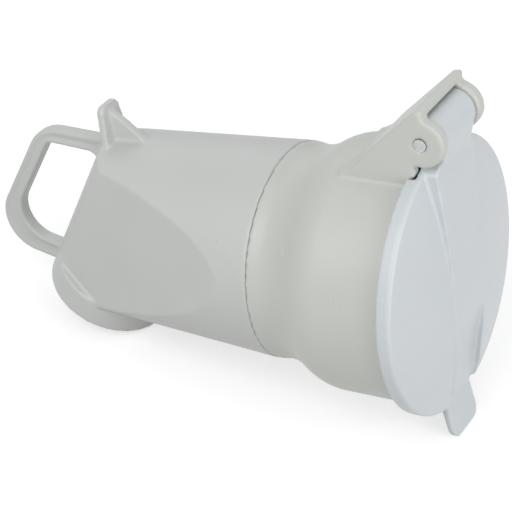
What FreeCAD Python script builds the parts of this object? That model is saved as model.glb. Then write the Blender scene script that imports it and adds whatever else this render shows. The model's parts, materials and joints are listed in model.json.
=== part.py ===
import FreeCAD, Part
import math
import os
import Sketcher

# Inline socket connector for round industrial plugs, with a sprung hinged lid.
# Lengths are in millimetres and angles in degrees.
# The pieces are drawn in the connector's own frame: +X along the axis towards the lid,
# +Y to the left, +Z up, with the origin on the axis in the plane of the lid's rim.
# At the end every piece gets the one placement in which the connector rests on a table:
# on the lower rim of its cable outlet and the tip of the lid's tab.

DRIVING_SIZES = {
    # lid
    "lid_radius": 45.0,
    "lid_rim_depth": 4.95,
    "lid_rim_round": 1.3,
    "lid_dome_rise": 5.3,
    "lid_wall": 2.4,
    "lid_skirt_wall": 2.6,
    "gasket_seat_depth": 2.2,
    "strip_rise": 0.7,
    "strip_top_half": 13.4,
    "strip_low_half": 9.8,
    "strip_fold_inset": 2.8,
    "strip_fold_forward": 4.0,
    "strip_low_inset": 2.6,
    "scoop_top": 11.0,
    "scoop_foot_inset": 5.0,
    "scoop_setback": 0.6,
    "scoop_radius": 160.0,
    "tab_length": 14.9,
    "tab_half": 9.0,
    "tab_wall": 2.2,
    "tab_lean": 11.0,
    "tab_setback": 2.4,
    "tab_corner": 4.0,
    "hook_depth": 6.0,
    "hook_half": 6.0,
    "hook_wall": 2.2,
    # hinge
    "pin_radius": 2.0,
    "pin_above_lid": 8.4,
    "pin_fit": 0.03,
    "barrel_fit": 0.06,
    "barrel_radius": 6.8,
    "barrel_gap": 0.4,
    "barrel_side_gap": 0.35,
    "leaf_lean": 19.0,
    "spring_pocket_radius": 5.5,
    "spring_pocket_half": 5.4,
    "spring_coil_radius": 3.75,
    "spring_wire": 1.1,
    "spring_turns": 4.5,
    "spring_pitch": 1.7,
    "spring_leg": 3.6,
    # hood over the hinge
    "hood_half": 15.35,
    "cheek_wall": 4.3,
    "cheek_radius": 7.75,
    "cheek_front": 2.6,
    "hood_crest": 10.9,
    "hood_lip_forward": 1.1,
    "lip_slot": 0.7,
    "lip_slot_depth": 2.6,
    "ramp_setback": 1.3,
    "ramp_tail": 4.5,
    "ramp_angle": 42.5,
    "ramp_root": 17.0,
    "ramp_root_radius": 16.0,
    # front housing
    "collar_setback": 3.6,
    "collar_gap": 0.5,
    "collar_step": 5.0,
    "collar_lip_step": 1.1,
    "collar_length": 28.0,
    "collar_wall": 3.7,
    "flare_length": 22.0,
    "waist_radius": 35.2,
    "waist_length": 4.7,
    "seam_radius": 35.9,
    "throat_radius": 30.4,
    "floor_depth": 42.0,
    "floor_lip_radius": 29.7,
    "floor_lip_wall": 2.0,
    "spigot_length": 10.0,
    "spigot_radius": 33.2,
    "spigot_gap": 0.2,
    "seal_wire": 1.3,
    "seal_setback": 2.6,
    "keyway_width": 7.0,
    "keyway_depth": 1.5,
    # rear housing
    "rear_length": 110.0,
    "rear_taper": 6.9,
    "rear_wall": 2.2,
    "outlet_radius": 21.5,
    "outlet_tilt": 30.4,
    "outlet_overrun": 30.6,
    "outlet_drop": 28.3,
    "outlet_collar": 10.0,
    "facet_turn": 16.7,
    "facet_tilt": 8.0,
    "facet_start": 65.0,
    "facet_reach": 35.9,
    "loop_width": 5.2,
    "loop_top_height": 31.4,
    "loop_top_band": 5.6,
    "loop_corner_back": 17.0,
    "loop_corner_height": 33.0,
    "loop_corner_radius": 14.0,
    "loop_rear_band": 5.7,
    "loop_back": 47.4,
    "loop_back_height": -13.6,
    "loop_back_radius": 13.5,
    "loop_foot_band": 7.0,
    "loop_foot_drop": 12.5,
    "loop_inner_radius": 2.5,
    "loop_inner_back_radius": 10.5,
    "loop_root_radius": 4.0,
    "loop_edge_round": 1.0,
    "loop_lip": 1.7,
    "loop_dish": 0.55,
    "lug_ahead_of_outlet": 12.1,
    "lug_height": 44.6,
    "lug_wall": 2.6,
    "lug_top_half": 5.0,
    "lug_base_half": 7.0,
    "lug_lean": 5.0,
    "gusset_length": 15.0,
    "gusset_wall": 3.0,
    # contact carrier
    "carrier_radius": 29.5,
    "carrier_setback": 5.2,
    "carrier_ring_depth": 31.0,
    "carrier_ring_wall": 3.0,
    "carrier_ring_gap": 0.3,
    "rear_block_gap": 0.3,
    "carrier_shoulder": 1.0,
    "carrier_play": 0.1,
    "carrier_end_depth": 46.0,
    "carrier_face_wall": 2.6,
    "contact_circle": 20.5,
    "pin_hole_gap": 0.3,
    "chamber_gap": 0.6,
    "boss_circle": 34.2,
    "boss_radius": 3.1,
    # contacts
    "live_bore": 3.05,
    "earth_bore": 4.05,
    "sleeve_wall": 1.5,
    "sleeve_setback": 8.2,
    "sleeve_bore_depth": 25.0,
    "sleeve_slot": 0.8,
    "shoulder_wall": 0.8,
    "shoulder_length": 2.0,
    "terminal_radius": 4.9,
    "terminal_length": 15.0,
    "wire_hole": 2.8,
    "wire_hole_depth": 12.0,
    "ring_wall": 0.7,
    "ring_length": 3.0,
    "ring_setback": 4.0,
    "ring_gap": 0.05,
    # retainer plate
    "retainer_wall": 3.0,
    "retainer_radius": 29.0,
    "retainer_gap": 0.2,
    # screws
    "screw_fit": 0.05,
    "terminal_screw_radius": 1.9,
    "terminal_screw_head": 2.9,
    "terminal_screw_length": 6.4,
    "carrier_screw_radius": 1.5,
    "carrier_screw_head": 2.6,
    "carrier_screw_length": 9.0,
    "retainer_screw_radius": 2.0,
    "retainer_screw_head": 3.6,
    "retainer_screw_length": 12.0,
    "housing_screw_radius": 1.5,
    "housing_screw_head": 2.7,
    "housing_screw_setback": 6.4,
    "housing_head_height": 1.1,
    "housing_head_sink": 0.7,
    "housing_screw_spread": 25.0,
    "head_height": 1.8,
    "drive_slot": 0.9,
    # cable outlet
    "gland_bore": 18.0,
    "gland_depth": 16.0,
    "gland_seat_wall": 2.5,
    "gland_seat_bore": 12.5,
    "gland_shell": 20.4,
    "nut_recess": 0.8,
    "nut_length": 7.0,
    "nut_bore": 10.0,
    "nut_fit": 0.1,
    "nut_notch": 4.0,
    "washer_wall": 1.0,
    "washer_gap": 1.5,
    "gland_play": 0.1,
    "grommet_bore": 8.0,
    "grommet_gap": 0.4,
    # cable clamp
    "clamp_screw_radius": 1.5,
    "clamp_screw_head": 2.5,
    "clamp_screw_length": 9.0,
    "clamp_spread": 13.4,
    "clamp_width": 8.0,
    "clamp_height": 24.5,
    "clamp_wall": 3.2,
    "clamp_arch": 8.4,
    "clamp_half": 16.2,
    "clamp_face": 0.1,
    "pillar_width": 10.0,
    "pillar_depth": 8.0,
    "pillar_gap": 0.3,
    # lid gasket
    "gasket_wall": 1.1,
    "gasket_overhang": 1.4,
    "gasket_edge_gap": 0.6,
}

CONTACT_ANGLES = {
    "earth_contact": 270.0,
    "neutral_contact": 342.0,
    "line_1_contact": 54.0,
    "line_2_contact": 126.0,
    "line_3_contact": 198.0,
}
BOSS_ANGLES = [30.0, 150.0, 270.0]

doc = FreeCAD.newDocument("inline_socket_connector")
sheet = doc.addObject("Spreadsheet::Sheet", "sizes")
for row, (alias, number) in enumerate(DRIVING_SIZES.items(), start=1):
    sheet.set(f"A{row}", alias)
    sheet.set(f"B{row}", str(number))
    sheet.setAlias(f"B{row}", alias)
doc.recompute()


class Size:
    """A length or angle, known as a number and as an expression on the sheet."""

    def __init__(self, value, text):
        self.value = float(value)
        self.text = text

    def combine(self, sign, other, value):
        return Size(value, f"({self.text} {sign} {as_size(other).text})")

    def __add__(self, other):
        return self.combine("+", other, self.value + as_size(other).value)

    def __sub__(self, other):
        return self.combine("-", other, self.value - as_size(other).value)

    def __mul__(self, other):
        return self.combine("*", other, self.value * as_size(other).value)

    def __truediv__(self, other):
        return self.combine("/", other, self.value / as_size(other).value)

    def __neg__(self):
        return Size(-self.value, f"(0 - {self.text})")

    __radd__ = __add__
    __rmul__ = __mul__

    def __float__(self):
        return self.value


def as_size(thing):
    return thing if isinstance(thing, Size) else Size(thing, repr(float(thing)))


def sine(angle):
    angle = as_size(angle)
    return Size(math.sin(math.radians(angle.value)), f"sin({angle.text})")


def cosine(angle):
    angle = as_size(angle)
    return Size(math.cos(math.radians(angle.value)), f"cos({angle.text})")


def root(area):
    return Size(math.sqrt(area.value), f"sqrt({area.text})")


class Sizes:
    """The driving sizes, read from the sheet by name."""

    def __getattr__(self, name):
        return Size(sheet.get(name), f"sizes.{name}")


d = Sizes()


# Helpers for sketches and features

def new_body(name):
    body = doc.addObject("PartDesign::Body", name)
    body.Label = name
    return body


def new_sketch(body, role, offset=None):
    plane = [f for f in body.Origin.OriginFeatures if f.Role == role][0]
    sketch = body.newObject("Sketcher::SketchObject", body.Label + "_sketch")
    sketch.AttachmentSupport = (plane, [""])
    sketch.MapMode = "FlatFace"
    if offset is not None:
        sketch.setExpression(".AttachmentOffset.Base.z", as_size(offset).text)
    return sketch


def bind(sketch, kind, size, *places):
    size = as_size(size)
    index = sketch.addConstraint(Sketcher.Constraint(kind, *places, size.value))
    sketch.setExpression(f"Constraints[{index}]", size.text)


def outline(sketch, corners):
    """Draws a closed outline. A corner is (u, v), or (u, v, radius, side) where an arc of that
    radius runs to the next corner, bulging to the left (side 1) or right (side -1) of the way."""
    first = sketch.GeometryCount
    count = len(corners)
    ends = []
    for i, corner in enumerate(corners):
        following = corners[(i + 1) % count]
        start = FreeCAD.Vector(float(corner[0]), float(corner[1]), 0)
        end = FreeCAD.Vector(float(following[0]), float(following[1]), 0)
        if len(corner) == 2:
            sketch.addGeometry(Part.LineSegment(start, end), False)
            ends.append((1, 2))
            continue
        way = end - start
        half = way.Length / 2
        sagitta = float(corner[2]) - math.sqrt(max(float(corner[2]) ** 2 - half ** 2, 0.0))
        left = FreeCAD.Vector(-way.y, way.x, 0).normalize()
        middle = (start + end) * 0.5 + left * (sagitta * corner[3])
        if corner[3] > 0:
            sketch.addGeometry(Part.Arc(end, middle, start), False)
            ends.append((2, 1))
        else:
            sketch.addGeometry(Part.Arc(start, middle, end), False)
            ends.append((1, 2))
    for i in range(count):
        after = (i + 1) % count
        joint = (first + i, ends[i][1], first + after, ends[after][0])
        sketch.addConstraint(Sketcher.Constraint("Coincident", *joint))
    for i, corner in enumerate(corners):
        bind(sketch, "DistanceX", corner[0], -1, 1, first + i, ends[i][0])
        bind(sketch, "DistanceY", corner[1], -1, 1, first + i, ends[i][0])
        if len(corner) == 4:
            bind(sketch, "Radius", corner[2], first + i)


def circle(sketch, u, v, radius):
    centre = FreeCAD.Vector(float(u), float(v), 0)
    index = sketch.addGeometry(Part.Circle(centre, FreeCAD.Vector(0, 0, 1), float(radius)), False)
    bind(sketch, "DistanceX", u, -1, 1, index, 3)
    bind(sketch, "DistanceY", v, -1, 1, index, 3)
    bind(sketch, "Radius", radius, index)


def feature(body, kind, name, sketch):
    made = body.newObject("PartDesign::" + kind, body.Label + "_" + name)
    made.Profile = sketch
    sketch.Visibility = False
    return made


def extrude(body, kind, name, sketch, length, both_ways=False, backwards=False):
    """A pad or a pocket. A pad rises along the plane's normal, and a pocket sinks against it."""
    made = feature(body, kind, name, sketch)
    made.setExpression("Length", as_size(length).text)
    if both_ways:
        made.SideType = "Symmetric"
    made.Reversed = backwards
    return made


def turn(body, kind, name, sketch, angle=360.0):
    """A revolution or a groove about the sketch's own horizontal axis."""
    made = feature(body, kind, name, sketch)
    made.ReferenceAxis = (sketch, ["H_Axis"])
    made.Angle = angle
    return made


def turned_body(name, corners):
    """A turned piece on the connector's axis: the outline is (along the axis, radius)."""
    body = new_body(name)
    sketch = new_sketch(body, "XZ_Plane")
    outline(sketch, corners)
    turn(body, "Revolution", "turning", sketch)
    return body


def box_outline(low_u, high_u, low_v, high_v):
    return [(low_u, low_v), (high_u, low_v), (high_u, high_v), (low_u, high_v)]


# Stations along the axis, measured back from the rim plane of the lid

collar_radius = d.lid_radius - d.lid_skirt_wall - d.collar_gap
collar_lip_radius = collar_radius - d.collar_lip_step
socket_radius = collar_radius - d.collar_wall
gasket_inner = socket_radius - d.gasket_overhang
pin_height = d.lid_radius + d.pin_above_lid
strip_fold_height = d.lid_radius - d.strip_fold_inset
strip_low_end = d.lid_radius - d.strip_low_inset
scoop_foot = d.lid_radius - d.scoop_foot_inset
collar_front = -d.collar_setback
collar_back = -d.collar_step
flare_front = -d.collar_length
waist = flare_front - d.flare_length
seam = waist - d.waist_length
outlet_back = d.rear_length - d.outlet_overrun - seam
spigot_end = seam - d.spigot_length
floor_front = -d.floor_depth
carrier_ring_front = -d.carrier_ring_depth
carrier_ring_back = carrier_ring_front - d.carrier_ring_wall
carrier_end = -d.carrier_end_depth
rim_back = -d.lid_rim_depth
gasket_seat = -d.gasket_seat_depth

# Front housing: one moulding with the collar round the socket, the flare down to the seam,
# the spigot that enters the rear housing, and the hood that carries the hinge

flare_radius = ((d.flare_length / 2) * (d.flare_length / 2)
                + ((collar_radius - d.waist_radius) / 2) * ((collar_radius - d.waist_radius) / 2)
                ) / (collar_radius - d.waist_radius)
flare_middle = flare_front - d.flare_length / 2
flare_middle_radius = (collar_radius + d.waist_radius) / 2
seal_front = seam - d.seal_setback
seal_back = seal_front - d.seal_wire - d.spigot_gap
bore_radius = d.spigot_radius + d.spigot_gap
seal_floor = bore_radius - d.seal_wire - 0.1
carrier_ring_radius = socket_radius - d.carrier_ring_gap
seat_radius = carrier_ring_radius - d.carrier_ring_gap * 3

front_housing = turned_body("front_housing", [
    (collar_front, collar_lip_radius),
    (collar_back, collar_lip_radius),
    (collar_back, collar_radius),
    (flare_front, collar_radius, flare_radius, -1),
    (flare_middle, flare_middle_radius, flare_radius, 1),
    (waist, d.waist_radius),
    (seam, d.seam_radius),
    (seam, d.spigot_radius),
    (seal_front, d.spigot_radius),
    (seal_front, seal_floor),
    (seal_back, seal_floor),
    (seal_back, d.spigot_radius),
    (spigot_end, d.spigot_radius),
    (spigot_end, d.throat_radius),
    (floor_front - d.floor_lip_wall, d.throat_radius),
    (floor_front - d.floor_lip_wall, d.floor_lip_radius),
    (floor_front, d.floor_lip_radius),
    (floor_front, d.boss_circle),
    (carrier_ring_back, seat_radius),
    (carrier_ring_back, socket_radius),
    (collar_front, socket_radius),
])

hinge_x = as_size(0.15)
hood_foot = collar_radius - 3.3
cheek_step = collar_radius + 0.2
cheek_face = -d.cheek_front
cheek_meet = pin_height - root(d.cheek_radius * d.cheek_radius
                                 - (d.cheek_front + hinge_x) * (d.cheek_front + hinge_x))
lip_x = hinge_x + d.hood_lip_forward
lip_meet = pin_height + root(d.cheek_radius * d.cheek_radius
                               - d.hood_lip_forward * d.hood_lip_forward)
crest = pin_height + d.hood_crest
ramp_x = hinge_x - d.ramp_setback
ramp_low_x = ramp_x - d.ramp_root / sine(d.ramp_angle) * cosine(d.ramp_angle)
ramp_low = crest - d.ramp_root
ramp_end = ramp_low_x - (ramp_low - hood_foot) / 2 - d.ramp_tail

hood_sketch = new_sketch(front_housing, "XZ_Plane")
outline(hood_sketch, [
    (collar_front, hood_foot),
    (collar_front, cheek_step),
    (cheek_face, cheek_step),
    (cheek_face, cheek_meet, d.cheek_radius, -1),
    (hinge_x + d.cheek_radius, pin_height, d.cheek_radius, -1),
    (lip_x, lip_meet),
    (lip_x, crest),
    (ramp_x, crest),
    (ramp_low_x, ramp_low, d.ramp_root_radius, 1),
    (ramp_end, collar_radius - 1.2),
    (ramp_end, hood_foot),
])
extrude(front_housing, "Pad", "hood", hood_sketch, d.hood_half * 2, both_ways=True)

cheek_inner = d.hood_half - d.cheek_wall
cavity_radius = d.barrel_radius + d.barrel_gap
cavity_arc_x = hinge_x - cavity_radius * sine(d.ramp_angle)
cavity_arc_z = pin_height + cavity_radius * cosine(d.ramp_angle)
cavity_end_x = cavity_arc_x - (cavity_arc_z - ramp_low) / sine(d.ramp_angle) * cosine(d.ramp_angle)
open_front = hinge_x + d.cheek_radius * 2
slot_x = hinge_x - d.lip_slot_depth
slot_foot = pin_height + root(cavity_radius * cavity_radius - d.lip_slot_depth * d.lip_slot_depth)
cavity_sketch = new_sketch(front_housing, "XZ_Plane")
outline(cavity_sketch, [
    (open_front, cheek_step),
    (open_front, pin_height + cavity_radius + d.lip_slot),
    (slot_x, pin_height + cavity_radius + d.lip_slot),
    (slot_x, slot_foot, cavity_radius, -1),
    (cavity_arc_x, cavity_arc_z),
    (cavity_end_x, ramp_low),
    (cavity_end_x, cheek_step),
])
extrude(front_housing, "Pocket", "cavity", cavity_sketch, cheek_inner * 2, both_ways=True)

pin_hole_sketch = new_sketch(front_housing, "XZ_Plane")
circle(pin_hole_sketch, hinge_x, pin_height, d.pin_radius + d.pin_fit)
extrude(front_housing, "Pocket", "pin_hole", pin_hole_sketch, d.hood_half * 3, both_ways=True)

boss_sketch = new_sketch(front_housing, "YZ_Plane", floor_front - 0.5)
pilot_sketch = new_sketch(front_housing, "YZ_Plane", carrier_ring_back)
pilot_radius = d.carrier_screw_radius + d.screw_fit
for angle in BOSS_ANGLES:
    boss_y = d.boss_circle * cosine(angle)
    boss_z = d.boss_circle * sine(angle)
    circle(boss_sketch, boss_y, boss_z, d.boss_radius)
    circle(pilot_sketch, boss_y, boss_z, pilot_radius)
extrude(front_housing, "Pad", "bosses", boss_sketch, carrier_ring_back - floor_front + 0.5)
extrude(front_housing, "Pocket", "pilots", pilot_sketch, d.carrier_screw_length)

for side in (-1, 1):
    hole_sketch = new_sketch(front_housing, "XY_Plane")
    across_axis = FreeCAD.Rotation(FreeCAD.Vector(1, 0, 0), side * float(d.housing_screw_spread))
    hole_sketch.AttachmentOffset = FreeCAD.Placement(FreeCAD.Vector(), across_axis)
    circle(hole_sketch, seam - d.housing_screw_setback, 0, d.housing_screw_radius + d.screw_fit)
    extrude(front_housing, "Pocket", "spigot_hole", hole_sketch, d.seam_radius)

keyway_sketch = new_sketch(front_housing, "YZ_Plane", collar_front)
keyway_top = -(socket_radius - 2)
keyway_floor = -(socket_radius + d.keyway_depth)
outline(keyway_sketch, box_outline(-(d.keyway_width / 2), d.keyway_width / 2, keyway_floor, keyway_top))
extrude(front_housing, "Pocket", "keyway", keyway_sketch, collar_front - carrier_ring_front)

# Rear housing: one moulding with a slightly tapered body, a slanted outlet for the cable,
# a flat on each side that leans in to the outlet, the carrying loop and the lug on top

def outlet_frame():
    """The outlet's end centre, its axis into the body, and the direction across it to the front."""
    tilt = math.radians(float(d.outlet_tilt))
    centre = FreeCAD.Vector(-float(outlet_back), 0, -float(d.outlet_drop))
    axis = FreeCAD.Vector(math.sin(tilt), 0, math.cos(tilt))
    across = FreeCAD.Vector(math.cos(tilt), 0, -math.sin(tilt))
    return centre, axis, across


def outlet_placement(depth=0.0):
    """A frame on the outlet's axis: local Z runs into the body, local X points to the front."""
    centre, axis, across = outlet_frame()
    turn_in = FreeCAD.Rotation(across, FreeCAD.Vector(0, 1, 0), axis, "ZXY")
    return FreeCAD.Placement(centre + axis * float(depth), turn_in)


def outlet_cylinder(radius, low, high):
    shape = Part.makeCylinder(float(radius), float(high) - float(low))
    shape.Placement = outlet_placement(low)
    return shape


def slanted_prism(radius):
    """All that lies ahead of the rear wall, which is round about the outlet's axis."""
    span = float(d.rear_length)
    wall = Part.makeCylinder(radius, span, FreeCAD.Vector(0, 0, 0))
    ahead = Part.makeBox(span, span, span, FreeCAD.Vector(0, -span / 2, 0))
    shape = wall.fuse(ahead)
    shape.Placement = outlet_placement()
    return shape


def side_cutter(side, inset):
    """What lies outside the flat on one side, moved in by the inset."""
    turn_angle = math.radians(float(d.facet_turn))
    tilt_angle = math.radians(float(d.facet_tilt))
    outward = FreeCAD.Vector(-math.sin(turn_angle) * math.cos(tilt_angle),
                             side * math.cos(turn_angle) * math.cos(tilt_angle),
                             math.sin(tilt_angle))
    touch = FreeCAD.Vector(-float(d.facet_start), side * float(d.facet_reach), 0)
    span = float(d.rear_length) * 2
    shape = Part.makeBox(span, span, span, FreeCAD.Vector(-span / 2, -span / 2, 0))
    shape.Placement = FreeCAD.Placement(touch - outward * inset,
                                        FreeCAD.Rotation(FreeCAD.Vector(0, 0, 1), outward))
    return shape


def body_core(inset, front):
    """The body between the seam and the rear wall, all faces moved in by the inset."""
    length = float(d.rear_length)
    start = float(d.seam_radius)
    end = start - float(d.rear_taper)
    shape = Part.makeCone(start - inset, end - inset, length,
                          FreeCAD.Vector(front, 0, 0), FreeCAD.Vector(-1, 0, 0))
    shape = shape.common(slanted_prism(float(d.outlet_radius) - inset))
    for side in (-1, 1):
        shape = shape.cut(side_cutter(side, inset))
    return shape


def crossing(one, other):
    """Where two straight lines of the mid-plane meet, each given by two points."""
    start, way = one[0], one[1] - one[0]
    far, run = other[0], other[1] - other[0]
    share = ((far.x - start.x) * run.z - (far.z - start.z) * run.x) / (way.x * run.z - way.z * run.x)
    return start + way * share


def moved_inward(start, end, band):
    """A line of the mid-plane moved to the left of its way by the band."""
    way = (end - start).normalize()
    step = FreeCAD.Vector(-way.z, 0, way.x) * float(band)
    return start + step, end + step


def rounded_plate(corners, width):
    """A plate across the mid-plane whose outline has a round corner at each point with a radius."""
    enters, arcs, leaves = [], [], []
    for i, (point, radius) in enumerate(corners):
        back = (corners[i - 1][0] - point).normalize()
        ahead = (corners[(i + 1) % len(corners)][0] - point).normalize()
        half_turn = math.acos(back.dot(ahead)) / 2
        radius = float(radius)
        reach = radius / math.tan(half_turn)
        bisector = (back + ahead).normalize()
        middle = point + bisector * (radius / math.sin(half_turn) - radius)
        enters.append(point + back * reach)
        leaves.append(point + ahead * reach)
        arcs.append(middle)
    edges = []
    for i in range(len(corners)):
        if corners[i][1]:
            edges.append(Part.Arc(enters[i], arcs[i], leaves[i]).toShape())
        edges.append(Part.LineSegment(leaves[i], enters[(i + 1) % len(corners)]).toShape())
    face = Part.Face(Part.Wire(edges))
    face.translate(FreeCAD.Vector(0, -width / 2, 0))
    return face, face.extrude(FreeCAD.Vector(0, width, 0))


def carrying_loop():
    """The loop runs back from the top of the body, down, and in again to the outlet's rear."""
    outlet_x = -float(outlet_back)
    width = float(d.loop_width)
    root_top = FreeCAD.Vector(outlet_x + float(d.outlet_radius), 0, float(d.loop_top_height))
    corner = FreeCAD.Vector(outlet_x - float(d.loop_corner_back), 0, float(d.loop_corner_height))
    heel = FreeCAD.Vector(outlet_x - float(d.loop_back), 0, float(d.loop_back_height))
    drop = math.radians(float(d.loop_foot_drop))
    foot_way = FreeCAD.Vector(math.cos(drop), 0, -math.sin(drop))
    foot = heel + foot_way * float(d.outlet_radius) * 1.6
    top_line = moved_inward(root_top, corner, d.loop_top_band)
    rear_line = moved_inward(corner, heel, d.loop_rear_band)
    foot_line = moved_inward(heel, foot, d.loop_foot_band)
    outer_face, outer = rounded_plate([(root_top, 0), (corner, d.loop_corner_radius),
                                       (heel, d.loop_back_radius), (foot, 0)], width)
    inner_face, inner = rounded_plate([
        (top_line[0] - FreeCAD.Vector(float(d.outlet_radius) * 0.6, 0, 0), d.loop_root_radius),
        (crossing(top_line, rear_line), d.loop_inner_radius),
        (crossing(rear_line, foot_line), d.loop_inner_back_radius),
        (foot_line[1], 0),
    ], width)
    loop = outer.cut(inner)
    rims = [e for e in loop.Edges if e.BoundBox.YLength < 0.01 and e.BoundBox.XMax < outlet_x + 20]
    loop = loop.makeFillet(float(d.loop_edge_round), rims)
    lip = float(d.loop_lip)
    dish = outer_face.makeOffset2D(-lip).cut(inner_face.makeOffset2D(lip))
    near_dish = dish.extrude(FreeCAD.Vector(0, float(d.loop_dish), 0))
    far_dish = near_dish.mirror(FreeCAD.Vector(), FreeCAD.Vector(0, 1, 0))
    below_rim = outlet_cylinder(d.gland_bore, -d.outlet_radius, 0)
    return loop.cut([near_dish, far_dish, below_rim]).Solids[0]


def upright_plate(corners, wall, centre_x, lean):
    """A plate across the body, drawn in (y, z), as thick as its wall and leaning back."""
    face = Part.Face(Part.makePolygon([FreeCAD.Vector(0, y, z) for y, z in corners + corners[:1]]))
    shape = face.extrude(FreeCAD.Vector(wall, 0, 0))
    low = corners[0][1]
    shape.rotate(FreeCAD.Vector(0, 0, low), FreeCAD.Vector(0, 1, 0), -lean)
    shape.translate(FreeCAD.Vector(centre_x, 0, 0))
    return shape


def top_lug(foot):
    """An upright plate on top of the body's rear end, with a gusset ahead of it."""
    top = float(d.lug_height)
    bevel = float(d.lug_wall) * 0.6
    base_half = float(d.lug_base_half)
    top_half = float(d.lug_top_half)
    x_back = float(d.lug_ahead_of_outlet) - float(outlet_back)
    plate = upright_plate([(-base_half, foot), (base_half, foot), (top_half, top - bevel),
                           (top_half - bevel, top), (bevel - top_half, top),
                           (-top_half, top - bevel)],
                          float(d.lug_wall), x_back, float(d.lug_lean))
    half = float(d.gusset_wall) / 2
    side = [(x_back + 1, foot), (x_back + float(d.gusset_length), foot),
            (x_back + float(d.gusset_length), foot + bevel * 2), (x_back + 1, top - bevel)]
    rib = Part.Face(Part.makePolygon([FreeCAD.Vector(x, -half, z) for x, z in side + side[:1]]))
    return plate.fuse(rib.extrude(FreeCAD.Vector(0, half * 2, 0)))


seam_x = float(seam)
wall = float(d.rear_wall)
outlet_mouth = outlet_cylinder(d.outlet_radius, 0, d.outlet_collar)
outside = body_core(0, seam_x).fuse(outlet_mouth)
lug_foot = float(d.seam_radius) - float(d.rear_taper)
outside = outside.fuse([carrying_loop(), top_lug(lug_foot)]).removeSplitter()

gland_depth = float(d.gland_depth)
gland_top = gland_depth + float(d.gland_seat_wall)
gland_shell = outlet_cylinder(d.gland_shell, -wall, gland_top)
inside = body_core(wall, seam_x).cut(gland_shell)
spigot_bore = Part.makeCylinder(float(bore_radius), float(d.spigot_length) + 0.4,
                                FreeCAD.Vector(seam_x, 0, 0), FreeCAD.Vector(-1, 0, 0))
gland_bore = outlet_cylinder(d.gland_bore, -1, gland_depth)
seat_bore = outlet_cylinder(d.gland_seat_bore, gland_depth - 1, gland_top + 1)


def clamp_pillars():
    """Two blocks on the gland's seat, one each side of the cable, that carry the clamp."""
    shapes = []
    half = float(d.clamp_half) + 0.6
    inner = float(d.clamp_spread) * 2 - half
    height = float(d.clamp_height) + float(d.pillar_width) / 2
    for side in (-1, 1):
        low = inner if side > 0 else -half
        block = Part.makeBox(float(d.pillar_depth), half - inner, height - gland_top + 0.5)
        block.Placement = outlet_placement().multiply(FreeCAD.Placement(
            FreeCAD.Vector(-float(d.clamp_face) - float(d.pillar_depth), low, gland_top - 0.5),
            FreeCAD.Rotation()))
        shapes.append(block)
    return shapes


def clamp_hole(side, radius, length, lift):
    """A cylinder on the axis of one clamp screw, from lift above the pillar's face, downwards."""
    shape = Part.makeCylinder(radius, length, FreeCAD.Vector(0, 0, 0), FreeCAD.Vector(-1, 0, 0))
    shape.Placement = outlet_placement().multiply(FreeCAD.Placement(
        FreeCAD.Vector(lift - float(d.clamp_face), side * float(d.clamp_spread),
                       float(d.clamp_height)), FreeCAD.Rotation()))
    return shape


def housing_screw_axis(side):
    """The way outwards along one of the two screws under the seam."""
    lean = math.radians(float(d.housing_screw_spread))
    return FreeCAD.Vector(0, side * math.sin(lean), -math.cos(lean))


def housing_screw_shape(side, radius, low, high):
    axis = housing_screw_axis(side)
    at_x = FreeCAD.Vector(seam_x - float(d.housing_screw_setback), 0, 0)
    return Part.makeCylinder(radius, high - low, at_x + axis * low, axis)


pillars = [block.common(body_core(wall / 2, seam_x)) for block in clamp_pillars()]
rear_solid = outside.cut([inside, spigot_bore, gland_bore, seat_bore]).fuse(pillars)
clamp_pilot = float(d.clamp_screw_radius) + float(d.screw_fit)
seat_face = float(d.seam_radius) - float(d.housing_head_height) - float(d.housing_head_sink)
cuts = [clamp_hole(side, clamp_pilot, float(d.pillar_depth) - 1, 0.0) for side in (-1, 1)]
for side in (-1, 1):
    cuts.append(housing_screw_shape(side, float(d.housing_screw_radius) + float(d.screw_fit),
                                    float(d.throat_radius), float(d.seam_radius)))
    cuts.append(housing_screw_shape(side, float(d.housing_screw_head) + float(d.screw_fit),
                                    seat_face, float(d.seam_radius) + 2))
rear_housing = doc.addObject("Part::Feature", "rear_housing")
rear_housing.Label = "rear_housing"
rear_housing.Shape = rear_solid.cut(cuts).removeSplitter()

# Lid: one moulding with a domed disc, its skirt, the raised strip, the tab to lift it by,
# the leaf and barrel on the hinge pin, and a hook inside that holds a plug in

dome_edge = d.lid_radius - d.lid_rim_round
dome_radius = (dome_edge * dome_edge + d.lid_dome_rise * d.lid_dome_rise) / (d.lid_dome_rise * 2)
skirt_inner = d.lid_radius - d.lid_skirt_wall
seat_inner = gasket_inner - 0.4
hollow_x = as_size(-0.6)
hollow_rise = d.lid_dome_rise - d.lid_wall - hollow_x
hollow_radius = (seat_inner * seat_inner + hollow_rise * hollow_rise) / (hollow_rise * 2)

lid = turned_body("lid", [
    (d.lid_dome_rise, 0, dome_radius, -1),
    (0, dome_edge, d.lid_rim_round, -1),
    (-d.lid_rim_round, d.lid_radius),
    (rim_back, d.lid_radius),
    (rim_back, skirt_inner),
    (gasket_seat, skirt_inner),
    (gasket_seat, seat_inner),
    (hollow_x, seat_inner, hollow_radius, 1),
    (d.lid_dome_rise - d.lid_wall, 0),
])

# The skirt is cut back below the hinge, where the hood's cheeks come down beside it
relief_half = d.hood_half + d.barrel_gap
relief_foot = d.cheek_front - 0.5
relief_sketch = new_sketch(lid, "XZ_Plane")
outline(relief_sketch, box_outline(-(d.lid_rim_depth * 2), -relief_foot,
                                   gasket_inner - 1.8, d.lid_radius * 1.2))
extrude(lid, "Pocket", "relief", relief_sketch, relief_half * 2, both_ways=True)

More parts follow.
